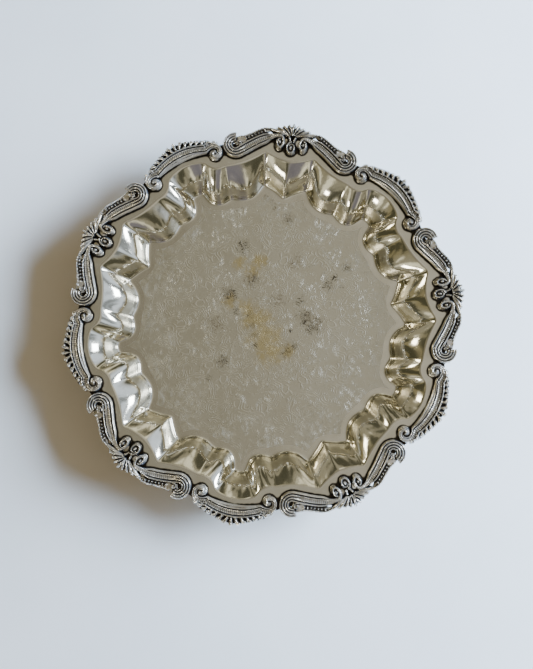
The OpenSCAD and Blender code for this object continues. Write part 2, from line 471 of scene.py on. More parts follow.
def oxide_and_shade_group() -> bpy.types.NodeTree:
    """Oxide that sits where a hand can't polish, and painted shade at the castings' foot, broken up by a fine
    mottle.

    Returns:
        A group that takes a place and a depth, and gives the cover of oxide and painted shade, and the
        roughness.
    """
    inputs = {"Place": "Vector", "Depth": "Float"}
    sheet, start, end = new_group("oxide_and_shade", inputs, {"Cover": "Float", "Roughness": "Float"})
    mottle = sheet.noise(start.outputs[0], 420.0, 3.0, 0.6)
    wander = sheet.times(sheet.math("SUBTRACT", mottle, 0.5), 0.5)
    depth = sheet.math("ADD", start.outputs[1], wander)
    cover = sheet.ease(depth, 0.16, 0.62)
    sheet.feed(end.inputs[0], cover)
    sheet.feed(end.inputs[1], sheet.math("MULTIPLY_ADD", cover, 0.34, 0.12))
    return sheet.tree


class Groups:
    """The shared shader groups, each made once."""

    def __init__(self) -> None:
        """Makes every group."""
        self.chasing = chasing_group()
        self.patch = patch_group()
        self.oxide_and_shade = oxide_and_shade_group()


@dataclass(frozen=True)
class Finish:
    """A finish that can be put on a piece."""

    name: str

    def material(self, groups: Groups) -> bpy.types.Material:
        """The finish's material, made the first time and then shared.

        Args:
            groups: The shared shader groups.

        Returns:
            The material.
        """
        made = bpy.data.materials.get(self.name)
        if made:
            return made
        made = bpy.data.materials.new(self.name)
        made.use_nodes = True
        made.node_tree.nodes.clear()
        sheet = Sheet(made.node_tree)
        shader = sheet.add("BsdfPrincipled")
        sheet.add("OutputMaterial", {"Surface": shader.outputs[0]})
        self.fill(sheet, shader, groups)
        return made

    def fill(self, sheet: Sheet, shader: bpy.types.Node, groups: Groups) -> None:
        """Feeds the shader's sockets. Each finish has its own way."""
        raise NotImplementedError


@dataclass(frozen=True)
class PolishedSheet(Finish):
    """Plated sheet with a soft polish: smudged, hairline-scratched, brown in the creases, and with painted
    shade on the flange beside the castings.
    """

    roughness: float = 0.07
    satin: float = 0.20

    def fill(self, sheet: Sheet, shader: bpy.types.Node, groups: Groups) -> None:
        """Feeds the shader's sockets."""
        place = sheet.own_place()
        crease = sheet.stored("crease")
        flange = sheet.stored("flange")
        smudge = sheet.noise(place, 55.0, 4.0, 0.6)
        fine = sheet.noise(place, 700.0, 2.0, 0.5)
        mottle = sheet.noise(place, 260.0, 3.0, 0.6)
        brown = sheet.times(crease, sheet.ease(mottle, 0.44, 0.66))
        warm = sheet.mix(sheet.ease(smudge, 0.35, 0.7), Tint.SILVER.rgba, Tint.DULL_SILVER.rgba)
        creased = sheet.mix(brown, warm, Tint.BROWN_TARNISH.rgba)
        # painted shade: the flange goes near-black where a casting stands close beside it
        casting_shade = sheet.math("SUBTRACT", sheet.stored("casting_shade"), 0.17)
        casting_shade = sheet.ease(sheet.math("MULTIPLY_ADD", mottle, 0.35, casting_shade), 0.25, 0.8)
        colour = sheet.mix(casting_shade, creased, Tint.OXIDE_AND_SHADE.rgba)
        rough = sheet.math("MULTIPLY_ADD", flange, self.satin, self.roughness)
        rough = sheet.math("MULTIPLY_ADD", smudge, 0.06, rough)
        rough = sheet.math("MULTIPLY_ADD", brown, 0.25, rough)
        sheet.coat(shader, colour, rough, 1.0)
        height = sheet.math("MULTIPLY_ADD", smudge, 0.75, sheet.times(fine, 0.04))
        sheet.emboss(shader, height, 0.16, 0.0012)


@dataclass(frozen=True)
class ChasedWell(Finish):
    """The well's floor: matte from washing, chased with whorls, with a painted highlight along the chased
    lines, stained near its middle.
    """

    stains: tuple[tuple[float, float, float, float], ...] = (
        (-14, 10, 11, 210), (-9, 3, 13, 170), (1, -12, 21, 110), (9, -21, 16, 150), (-11, 49, 10, 260),
        (-15, 40, 9, 260), (22, -18, 10, 240), (-4, 2, 17, 130), (-29, 14, 9, 300), (-26, 45, 8, 260),
    )
    browns: tuple[tuple[float, float, float, float], ...] = (
        (42, 8, 9, 260), (-30, 19, 11, 240), (8, 21, 10, 240), (-4, 94, 7, 200), (-13, 102, 8, 220),
        (-33, 89, 7, 220), (6, 85, 9, 260), (-15, 33, 10, 300), (23, -15, 11, 260), (-26, -34, 9, 300),
        (-37, -6, 12, 260), (35, 9, 13, 260), (17, 52, 10, 260),
    )
    residues: tuple[tuple[float, float, float, float], ...] = (
        (-9, -3, 4, 330), (-5, -9, 4, 330), (42, 10, 4, 300), (22, -1, 3, 320), (18, -21, 4, 300),
        (22, -17, 5, 330), (26, -13, 4, 310), (49, 45, 5, 310), (45, 39, 7, 340), (56, 39, 3, 320),
        (-14, 34, 7, 320), (-30, 19, 9, 330), (-35, -47, 4, 300), (-26, -33, 7, 360), (31, 10, 9, 350),
        (38, 3, 8, 350), (-26, 58, 8, 360), (6, 86, 6, 340), (-12, 6, 4, 330), (25, 23, 6, 380),
        (-4, -17, 4, 340), (-23, 7, 5, 360), (57, 54, 6, 350),
    )

    def cover(
        self, sheet: Sheet, group: bpy.types.NodeTree, place: Any, marks: Iterable[Sequence[float]]
    ) -> Any:
        """How strongly a set of patches covers a place.

        Args:
            sheet: The material's sheet.
            group: The ragged patch group.
            place: The socket that gives the place.
            marks: Each patch's x, y and reach in millimetres, and its grain.

        Returns:
            The socket with the strongest cover.
        """
        total: Any = 0.0
        for x, y, reach, grain in marks:
            node = sheet.add("Group", node_tree=group)
            values = {"Place": place, "Centre": (x * MM, y * MM, 0.0012), "Reach": reach * MM, "Grain": grain}
            for key, value in values.items():
                sheet.feed(node.inputs[key], value)
            total = sheet.math("MAXIMUM", total, node.outputs[0])
        return total

    def fill(self, sheet: Sheet, shader: bpy.types.Node, groups: Groups) -> None:
        """Feeds the shader's sockets."""
        place = sheet.own_place()
        chased = sheet.add("Group", node_tree=groups.chasing)
        sheet.feed(chased.inputs[0], place)
        cut = chased.outputs[0]
        cloud = sheet.noise(place, 28.0, 5.0, 0.6)
        stain = self.cover(sheet, groups.patch, place, self.stains)
        brown = self.cover(sheet, groups.patch, place, self.browns)
        residue = self.cover(sheet, groups.patch, place, self.residues)
        speck = sheet.ease(sheet.noise(place, 900.0, 3.0, 0.7), 0.54, 0.63)
        caught = sheet.math("MAXIMUM", cut, speck)
        residue = sheet.times(sheet.times(residue, 1.3, clamp=True), caught)
        base = sheet.mix(sheet.ease(cloud, 0.3, 0.72), Tint.WASHED_SILVER.rgba, Tint.CLOUDED_SILVER.rgba)
        frost = sheet.ease(sheet.noise(place, 480.0, 4.0, 0.7), 0.50, 0.70)
        base = sheet.mix(sheet.times(frost, 0.14), base, Tint.FROST.rgba)
        # painted highlight: the chased lines are lightened, standing in for the glints of their cut faces
        line = sheet.mix(sheet.times(cut, 0.36), base, Tint.CUT_LINE_GLINT.rgba)
        amber = sheet.mix(sheet.times(stain, 0.62), line, Tint.AMBER_STAIN.rgba)
        grain = sheet.ease(sheet.noise(place, 620.0, 3.0, 0.7), 0.42, 0.66)
        browning = sheet.times(sheet.times(brown, grain), 0.55)
        browned = sheet.mix(browning, amber, Tint.BROWN_TARNISH.rgba)
        colour = sheet.mix(sheet.times(residue, 0.92), browned, Tint.RESIDUE.rgba)
        rough = sheet.math("MULTIPLY_ADD", cloud, 0.10, 0.29)
        rough = sheet.math("MULTIPLY_ADD", stain, 0.12, rough)
        sheet.coat(shader, colour, rough, 1.0)
        sheet.emboss(shader, cut, 0.35, 0.0003)


@dataclass(frozen=True)
class CastSilver(Finish):
    """Cast silver: bright on every ridge, black with oxide in every hollow, with painted shade at the foot of
    every part, and painted shade that makes one side darker and browner.
    """

    shaded_side: tuple[float, float, float] = (0.59, 0.81, 0.0)

    def fill(self, sheet: Sheet, shader: bpy.types.Node, groups: Groups) -> None:
        """Feeds the shader's sockets."""
        place = sheet.own_place()
        # recess holds both the oxide in the hollows and painted shade at each part's foot
        depth = sheet.stored("recess")
        oxide_and_shade = sheet.add("Group", node_tree=groups.oxide_and_shade)
        sheet.feed(oxide_and_shade.inputs[0], place)
        sheet.feed(oxide_and_shade.inputs[1], depth)
        grey = sheet.noise(place, 160.0, 3.0, 0.6)
        warm = sheet.ease(sheet.noise(place, 45.0, 2.0), 0.45, 0.6)
        # painted shade: castings towards this side turn darker and browner, standing in for the darker
        # reflection there
        side_shade = sheet.ease(sheet.vector("DOT_PRODUCT", place, self.shaded_side), 0.045, 0.125)
        bright = sheet.mix(sheet.times(warm, 0.7), Tint.WORN_SILVER.rgba, Tint.PATINA.rgba)
        bright = sheet.mix(sheet.times(side_shade, 0.75), bright, Tint.SHADED_SIDE_SILVER.rgba)
        metal = sheet.mix(sheet.ease(grey, 0.35, 0.75), bright, Tint.GREYED_SILVER.rgba)
        colour = sheet.mix(oxide_and_shade.outputs[0], metal, Tint.OXIDE_AND_SHADE.rgba)
        sheet.coat(shader, colour, oxide_and_shade.outputs[1], 0.97)
        pits = sheet.noise(place, 1400.0, 3.0, 0.6)
        sheet.emboss(shader, pits, 0.25, 0.0002)


@dataclass(frozen=True)
class PaleFloor(Finish):
    """The studio's plain pale floor."""

    def fill(self, sheet: Sheet, shader: bpy.types.Node, groups: Groups) -> None:
        """Feeds the shader's sockets."""
        place = sheet.own_place()
        cloud = sheet.noise(place, 5.0, 5.0, 0.6)
        colour = sheet.mix(sheet.ease(cloud, 0.3, 0.7), Tint.PALE.rgba, Tint.PALE_CLOUD.rgba)
        sheet.coat(shader, colour, 0.55, 0.0)


# ---------------------------------------------------------------- the dish


@dataclass(frozen=True)
class LobedOutline:
    """A closed outline of lobes that mirror twice in each repeat."""

    angles: tuple[float, ...]
    radii: tuple[float, ...]
    bulges: tuple[float, ...]

    def points(self, steps: Sequence[int]) -> Points:
        """Places round the whole outline, clockwise from +Y.

        Args:
            steps: How many places each of the half repeat's lobes takes.

        Returns:
            The places in millimetres.
        """
        mirrored = REPEAT_ANGLE - np.array(self.angles[::-1])
        corner_angles = [*self.angles, *mirrored]
        corners = polar(np.array([*self.radii, *self.radii[::-1]]), np.array(corner_angles))
        parts = []
        lobes = len(corners) - 1
        for k in range(lobes):
            half = min(k, lobes - 1 - k)
            t = (np.arange(steps[half]) / steps[half])[:, None]
            out = unit(left_of(corners[k + 1] - corners[k]))
            bulge = out * self.bulges[half] * 4 * t * (1 - t)
            parts.append(corners[k] * (1 - t) + corners[k + 1] * t - bulge)
        repeat = np.concatenate(parts)
        return np.concatenate([turned(repeat, n * REPEAT_ANGLE) for n in range(REPEATS)])


@dataclass
class Dish:
    """The sheet-metal dish: a flat well, a fluted wall and a plain flange."""

    toe: LobedOutline = LobedOutline(
        (0, 8.9, 23.4, 33.6), (100.4, 111.0, 102.6, 113.3), (-0.7, 6.0, 6.8, -1.5)
    )
    rim: LobedOutline = LobedOutline(
        (0, 8.2, 22.5, 29.2), (123.5, 130.0, 122.3, 129.2), (1.0, 1.6, 3.0, -4.2)
    )
    steps: tuple[int, ...] = (24, 32, 28, 22)
    sheet: float = 1.2
    flange_height: float = 25.2
    toe_bend: float = 2.5
    foot_slope: float = 68.0
    top_slope: float = 34.0
    swell: float = 1.0
    margin: float = 4.6
    edge_radius: float = 142.5
    edge_swing: float = 4.5
    rib_width: float = 2.2
    rib_height: float = 0.9
    flange_rings: int = 20
    rings: list[Points] = field(default_factory=list)
    creases: list[float] = field(default_factory=list)
    flanges: list[float] = field(default_factory=list)

    def __post_init__(self) -> None:
        """Works out the outlines that every ring is drawn between."""
        self.foot = softened(self.toe.points(self.steps), 5)
        self.top = softened(self.rim.points(self.steps), 8)
        middle = (self.foot + self.top) / 2
        self.outward = unit(softened(left_of(np.roll(middle, -1, axis=0) - np.roll(middle, 1, axis=0)), 10))
        shares = np.concatenate([np.arange(n) / n for n in (*self.steps, *self.steps[-2::-1])])
        self.pillow = np.tile(4 * shares * (1 - shares), REPEATS) * self.swell
        around = np.degrees(np.arctan2(self.foot[:, 0], self.foot[:, 1])) % REPEAT_ANGLE
        off_axis = np.minimum(around, REPEAT_ANGLE - around) * math.radians(1) * 110
        self.rib = np.exp(-((off_axis / self.rib_width) ** 2)) * self.rib_height

    def edge(self, inset: float = 0.0) -> Points:
        """The flange's outer edge, drawn in by an inset."""
        angle = np.degrees(np.arctan2(self.top[:, 0], self.top[:, 1]))
        swing = self.edge_swing * np.cos(np.radians(2 * REPEATS * angle))
        return polar(self.edge_radius + swing - inset, angle)

    def slope(self, share: float) -> float:
        """The wall's steepness in degrees at a share of its arc."""
        return self.foot_slope + (self.top_slope - self.foot_slope) * share

    def bend_ring(self, share: float) -> Points:
        """A ring on the bend where the floor turns up into the wall."""
        slope = math.radians(self.foot_slope * share)
        reach = self.toe_bend * (math.sin(slope) - math.sin(math.radians(self.foot_slope)) / 2)
        return lifted(self.foot + self.outward * reach, self.sheet + self.toe_bend * (1 - math.cos(slope)))

    def wall_ring(self, share: float) -> Points:
        """A ring on the wall, which leans back along an arc and swells between its creases."""
        low, high, now = (math.radians(a) for a in (self.foot_slope, self.top_slope, self.slope(share)))
        across = (math.sin(low) - math.sin(now)) / (math.sin(low) - math.sin(high))
        rise = (math.cos(now) - math.cos(low)) / (math.cos(high) - math.cos(low))
        start = self.foot + self.outward * self.toe_bend * math.sin(low) / 2
        in_by = self.pillow * math.sin(math.pi * share) + self.rib * math.sin(math.pi * share**0.6)
        base = self.sheet + self.toe_bend * (1 - math.cos(low))
        place = start + (self.top - start) * across - self.outward * in_by[:, None]
        return lifted(place, base + (self.flange_height - base) * rise)

    def under(self, ring: Points, slope: float) -> Points:
        """The same ring on the sheet's lower face."""
        turn = math.radians(slope)
        return ring + lifted(self.outward * self.sheet * math.sin(turn), -self.sheet * math.cos(turn))

    def keep(self, ring: Points, crease: float = 0.0, flange: float = 0.0) -> None:
        """Adds a ring with how creased it is and how far it lies on the flange."""
        self.rings.append(ring)
        self.creases.append(crease)
        self.flanges.append(flange)

    def chased_edge(self) -> Points:
        """The outline of the chased floor, inside its plain margin."""
        reach = self.margin + self.toe_bend * math.sin(math.radians(self.foot_slope)) / 2
        return softened(self.foot - self.outward * reach, 60)

    def draw_upper(self) -> None:
        """Rings of the upper face, from the middle of the floor out to the flange's edge."""
        chased = self.chased_edge()
        for share in CHASED_RING_SHARES:
            self.keep(lifted(chased * share, self.sheet))
        for inset in (self.margin, self.margin * 0.66, self.margin * 0.33):
            reach = inset + self.toe_bend * math.sin(math.radians(self.foot_slope)) / 2
            eased = softened(self.foot - self.outward * reach, int(13 * inset))
            self.keep(lifted(chased if inset == self.margin else eased, self.sheet), 0.0, 0.4)
        for k in range(7):
            self.keep(self.bend_ring(k / 7), 0.75 if k in (5, 6) else 0.0, 0.2 * (1 - k / 7))
        for k in range(25):
            self.keep(self.wall_ring(k / 24), 0.45 if k == 0 else 0.0, 0.0)
        inner, outer = self.wall_ring(1.0), lifted(self.edge(0.6), self.flange_height)
        for share in np.linspace(0.04, 1.0, self.flange_rings):
            self.keep(inner + (outer - inner) * share, 0.0, min(1.0, 0.4 + 6 * share))

    def draw_edge(self) -> None:
        """Rings round the flange's outer edge."""
        half = self.sheet / 2
        for turn in (50, 90, 130):
            angle = math.radians(turn)
            height = self.flange_height - half + half * math.cos(angle)
            self.keep(lifted(self.edge(0.6 - 0.6 * math.sin(angle)), height), 0.0, 1.0)

    def draw_lower(self) -> None:
        """Rings of the lower face, from the flange's edge back to the flat base."""
        outer = lifted(self.edge(0.6), self.flange_height - self.sheet)
        inner = self.wall_ring(1.0) - [0, 0, self.sheet]
        for share in (0.04, 0.5, 0.95):
            self.keep(outer + (inner - outer) * share, 0.0, 1.0)
        for k in range(10, -1, -1):
            self.keep(self.under(self.wall_ring(k / 10), self.slope(k / 10)), 0.0, 0.4)
        for k in range(5, -1, -1):
            self.keep(self.under(self.bend_ring(k / 6), self.foot_slope * k / 6), 0.1, 0.6)

    def build(self) -> bpy.types.Object:
        """Draws every ring, lofts them and closes the floor and the base.

        Returns:
            The dish.
        """
        self.draw_upper()
        self.draw_edge()
        self.draw_lower()
        piece = loft("fluted_dish", self.rings)
        around = len(self.foot)
        store(piece, "crease", np.repeat(self.creases, around))
        store(piece, "flange", np.repeat(self.flanges, around))
        only(piece)
        bpy.ops.object.shade_smooth_by_angle(angle=math.radians(50))
        return piece

    def dress(self, piece: bpy.types.Object, groups: Groups) -> None:
        """Puts the polished finish on the dish and the chased one on its floor."""
        piece.data.materials.append(PolishedSheet("polished_sheet").material(groups))
        piece.data.materials.append(ChasedWell("chased_well").material(groups))
        around = len(self.foot)
        edge_start = len(CHASED_RING_SHARES) * around
        for face in piece.data.polygons:
            inside = max(face.vertices) < edge_start + around and min(face.vertices) < edge_start
            face.material_index = 1 if inside else 0
        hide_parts("dish")
        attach(piece, BODY)


# ---------------------------------------------------------------- the castings


MILLING_PITCH = 1.5
CHANNEL_HALF = 0.42
RAILED_SECTION = (
    (0.0, 0.30), (0.15, 0.32), (0.28, 0.42), (0.38, 0.58), (0.46, 0.10),
    (0.55, 0.10), (0.66, 0.95), (0.78, 1.0), (0.90, 0.9), (1.0, 0.3),
)


@dataclass
class Relief:
    """A casting in the making: solids that stand on the flange and are fused into one."""

    name: str
    base: float = 25.2
    voxel: float = 0.24
    keep_share: float = 0.42
    parts: list[bpy.types.Object] = field(default_factory=list)

    def sweep(
        self,
        path: Points,
        widths: Sequence[tuple[float, float]],
        heights: Sequence[tuple[float, float]],
        reeds: int = 1,
        grooves: Sequence[tuple[float, float]] = ((0, 0.0), (1, 0.0)),
        rails: Sequence[tuple[float, float]] = ((0, 0.0), (1, 0.0)),
        crown: float = 0.5,
        milling: float = 0.0,
        step: float = 0.45,
    ) -> None:
        """Adds a reeded band along a path.

        Args:
            path: The middle of the band, in millimetres.
            widths: Knots of the band's width along the path.
            heights: Knots of its height along the path.
            reeds: How many reeds lie side by side on it.
            grooves: Knots of how deep the grooves between the reeds are, as a share of the height.
            rails: Knots of how far the reeds give way to a flat band between two rails.
            crown: How much of the height is the section's swell rather than its side.
            milling: How deeply the band between the rails is nicked, as a share of the height.
            step: How far apart the sections stand.
        """
        path = evenly(path, step)
        shares = np.linspace(0, 1, len(path))
        half = profile(shares, widths) / 2
        height = profile(shares, heights)
        groove = profile(shares, grooves)
        side = left_of(unit(np.gradient(path, axis=0)))
        railed = profile(shares, rails)
        u = np.linspace(-1, 1, max(9, 8 * reeds + 1, 33 if railed.any() else 0))
        swell = (1 - crown) + crown * np.sqrt(np.maximum(0, 1 - u**2))
        ridge = np.abs(np.sin(math.pi * reeds * (u + 1) / 2)) if reeds > 1 else np.ones_like(u)
        flat = np.interp(np.abs(u), *np.array(RAILED_SECTION).T)
        nick = np.where(np.abs(u) < CHANNEL_HALF, milling, 0.0)
        rings = []
        for k, place in enumerate(path):
            beat = 0.5 - 0.5 * math.cos(2 * math.pi * k * step / MILLING_PITCH)
            across = ridge**0.8 + (flat - ridge**0.8) * railed[k]
            z = height[k] * (swell - groove[k] * (1 - across) - nick * beat * railed[k])
            top = lifted(place + side[k] * (u * half[k])[:, None], self.base + z)
            foot = lifted(place + side[k] * (np.array([1, -1]) * half[k])[:, None], self.base)
            rings.append(np.concatenate([top, foot]))
        self.parts.append(loft("band", rings))

    def leaf(self, root: Points, tip: Points, width: float, height: float, bow: float = 0.0) -> None:
        """Adds a leaf that swells and then narrows to its tip.

        Args:
            root: Where the leaf starts.
            tip: Where it ends.
            width: Its greatest width.
            height: Its greatest height.
            bow: How far its middle is drawn to the left of a straight line.
        """
        middle = (root + tip) / 2 + unit(left_of(tip - root)) * bow
        path = bezier(root, middle, middle, tip, 12)
        widths = ((0, width * 0.35), (0.6, width), (0.88, width * 0.92), (1, width * 0.45))
        heights = ((0, height * 0.8), (0.5, height), (0.9, height * 0.85), (1, height * 0.45))
        self.sweep(path, widths, heights, crown=0.85, step=0.5)

    def ball(self, place: Points, radii: Sequence[float], height: float) -> None:
        """Adds a rounded boss.

        Args:
            place: Its middle.
            radii: Its half width and half length.
            height: How far its top is above the flange.
        """
        nothing_selected()
        bpy.ops.mesh.primitive_uv_sphere_add(segments=20, ring_count=12, radius=1)
        piece = bpy.context.object
        spot = coordinates(piece) * MM * [*radii, height] + [*place, self.base]
        spot[:, 2] = np.maximum(spot[:, 2], self.base)
        move_vertices(piece, spot)
        self.parts.append(piece)

    def fuse(self) -> bpy.types.Object:
        """Joins every solid, fuses them into one skin, eases it and marks its hollows and its painted foot
        shade.

        Returns:
            The casting.
        """
        nothing_selected()
        for part in self.parts:
            part.select_set(True)
        piece = self.parts[0]
        bpy.context.view_layer.objects.active = piece
        bpy.ops.object.join()
        piece.name = self.name
        finished_with(piece, "REMESH", mode="VOXEL", voxel_size=self.voxel * MM)
        finished_with(piece, "SMOOTH", factor=0.5, iterations=1)
        finished_with(piece, "DECIMATE", ratio=self.keep_share)
        self.level_base(piece)
        self.mark_hollows(piece)
        bpy.ops.object.shade_smooth()
        return piece

    def level_base(self, piece: bpy.types.Object) -> None:
        """Sets everything at or below the flange's level flat on it."""
        spots = coordinates(piece)
        spots[:, 2] = np.where(spots[:, 2] < self.base + 0.1, self.base, spots[:, 2])
        move_vertices(piece, spots)

    def mark_hollows(self, piece: bpy.types.Object) -> None:
        """Stores how deep each vertex lies below its surroundings, or how near the flange it lies, from 0 to
        1: the first is oxide in the hollows, the second painted shade at the casting's foot.
        """
        spots = coordinates(piece)
        cell, reach = 0.3, 6
        corner = spots[:, :2].min(axis=0) - 2 * reach * cell
        index = ((spots[:, :2] - corner) / cell).astype(int)
        shape = index.max(axis=0) + 2 * reach + 1
        tops = np.full(shape, self.base)
        np.maximum.at(tops, (index[:, 0], index[:, 1]), spots[:, 2])
        for axis in (0, 1):
            tops = np.maximum(tops, (np.roll(tops, 1, axis) + np.roll(tops, -1, axis)) / 2)
        around = tops.copy()
        for axis in (0, 1):
            around = sum(np.roll(around, k, axis) for k in range(-reach, reach + 1)) / (2 * reach + 1)
        here = around[index[:, 0], index[:, 1]]
        below = (here - spots[:, 2]) / 1.0
        # painted shade: every part darkens towards the flange's level, as if shaded at its foot; the depth
        # below the surroundings is the oxide in the hollows
        low = 1 - (spots[:, 2] - self.base) / 1.3
        store(piece, "recess", np.clip(0.22 + np.maximum(below * 0.85, low), 0, 1))


@dataclass
class Shell:
    """A bud below a fan of leaves, in the middle of each repeat."""

    bud: tuple[float, float] = (0.0, 133.1)
    bud_half: tuple[float, float] = (4.4, 5.6)
    fan_root: tuple[float, float] = (0.0, 141.4)
    tips: tuple[tuple[float, float], ...] = ((0, 11.1), (24, 10.9), (46, 11.8), (64, 14.6), (76, 18.6))
    leaf_widths: tuple[float, ...] = (3.0, 3.1, 3.4, 3.8, 3.8)
    height: float = 5.6

    def build(self) -> bpy.types.Object:
        """Models the bud with its spiral, the neck and the fan.

        Returns:
            The shell on +Y.
        """
        relief = Relief("shell_casting")
        bud = np.array(self.bud)
        relief.ball(bud, self.bud_half, self.height - 0.9)
        ring = spiral(bud, (self.bud_half[0] - 1.0, self.bud_half[1] - 1.0), 90, 420, 0.55)
        relief.sweep(ring, ((0, 2.2), (0.7, 1.8), (1, 1.2)), ((0, 5.2), (0.6, 5.6), (1, 5.2)), crown=0.7)
        relief.ball(bud + [0, 0.3], (1.5, 2.1), self.height + 0.3)
        root = np.array(self.fan_root)
        relief.ball(root + [0, 2.6], (13.0, 5.2), 1.4)
        relief.ball(np.array([0, 138.2]), (9.0, 4.6), 2.4)
        for side in (1, -1):
            neck = np.array([[side * 1.3, 137.6], [side * 1.7, 139.6], [side * 2.4, 141.6]])
            relief.sweep(neck, ((0, 1.8), (1, 2.4)), ((0, 3.8), (1, 4.4)), crown=0.7)
            for k, (angle, reach) in enumerate(self.tips):
                if side < 0 and angle == 0:
                    continue
                start = root + polar(1.0 + 0.55 * k, side * angle)
                tip = root + polar(reach, side * angle)
                relief.leaf(start, tip, self.leaf_widths[k], 5.8 - 0.2 * k, bow=side * 0.6)
        return relief.fuse()


@dataclass
class SScroll:
    """An S-scroll: a round volute, a reeded band and an oval volute by the bud."""

    inner_eye: tuple[float, float] = (8.95, 136.4)
    inner_half: tuple[float, float] = (3.0, 5.0)
    outer_eye: tuple[float, float] = (41.8, 129.8)
    outer_arc: float = 6.0
    outer_start: float = 86.0
    outer_end: float = -130.0
    handle: float = 10.0
    bead_pitch: float = 2.3
    trim: tuple[tuple[float, float], tuple[float, float]] = ((34.6, 135.4), (21.6, 143.6))
    comb_eye: tuple[float, float] = (39.4, 132.0)
    web: tuple[tuple[float, float], ...] = (
        (41.5, 129.9), (38.2, 133.3), (33.4, 136.0), (27.9, 139.8), (21.6, 143.8), (16.5, 145.6),
    )
    rope: tuple[tuple[float, float], ...] = (
        (38.2, 136.8), (34.4, 137.9), (29.6, 141.1), (24.6, 144.5), (20.4, 146.0), (17.4, 146.0),
    )

    def route(self) -> Points:
        """The middle of the band, from the comb end to the oval volute's eye."""
        eye = np.array(self.outer_eye)
        sweep = self.outer_end - self.outer_start
        outer = spiral(eye, (self.outer_arc,) * 2, self.outer_start, sweep, 1.0)
        turn = math.radians(self.outer_end)
        finish = np.array(self.inner_eye) + [0, self.inner_half[1]]
        leaving = outer[-1] + np.array([math.sin(turn), -math.cos(turn)]) * self.handle
        bridge = bezier(outer[-1], leaving, finish + [self.handle, 0], finish, 40)
        inner = spiral(np.array(self.inner_eye), self.inner_half, 90, 370, 0.5)
        return np.concatenate([outer, bridge[1:], inner[1:]])

    def build(self) -> bpy.types.Object:
        """Models the band, the volutes' eyes, the web between them and the trim outside.

        Returns:
            The right-hand scroll of the first repeat.
        """
        relief = Relief("s_scroll_casting")
        relief.sweep(
            self.route(),
            ((0, 7.6), (0.18, 7.8), (0.40, 8.7), (0.56, 8.3), (0.70, 3.2), (0.8, 2.5), (1, 1.5)),
            ((0, 4.4), (0.15, 5.3), (0.45, 4.9), (0.7, 5.0), (1, 5.6)),
            reeds=4,
            grooves=((0, 0.34), (0.26, 0.34), (0.38, 0.44), (0.60, 0.40), (0.76, 0.0), (1, 0.0)),
            rails=((0, 0.0), (0.26, 0.0), (0.38, 1.0), (0.70, 1.0), (0.8, 0.0), (1, 0.0)),
            crown=0.40,
            milling=0.06,
            step=0.3,
        )
        eye = np.array(self.comb_eye)
        relief.ball(eye, (2.6, 2.6), 4.4)
        curl = spiral(eye, (2.2, 2.2), 200, 400, 0.3)
        relief.sweep(curl, ((0, 1.1), (1, 1.0)), ((0, 4.6), (1, 5.6)))
        relief.ball(np.array(self.inner_eye), (4.0, 6.4), 4.6)
        relief.ball(np.array(self.inner_eye), (1.5, 2.3), 6.0)
        widths, heights = ((0, 10.5), (0.3, 7.0), (0.8, 4.8), (1, 1.4)), ((0, 3.0), (0.8, 3.0), (1, 2.2))
        relief.sweep(np.array(self.web), widths, heights, crown=0.3)
        for k, spot in enumerate(evenly(np.array(self.rope), self.bead_pitch)):
            relief.ball(spot, (1.25, 1.25), 4.5 - 0.3 * (k % 2))
        start, end = np.array(self.trim[0]), np.array(self.trim[1])
        for k in range(7):
            relief.ball(start + (end - start) * (k / 6), (1.1, 1.1), 4.4)
        return relief.fuse()


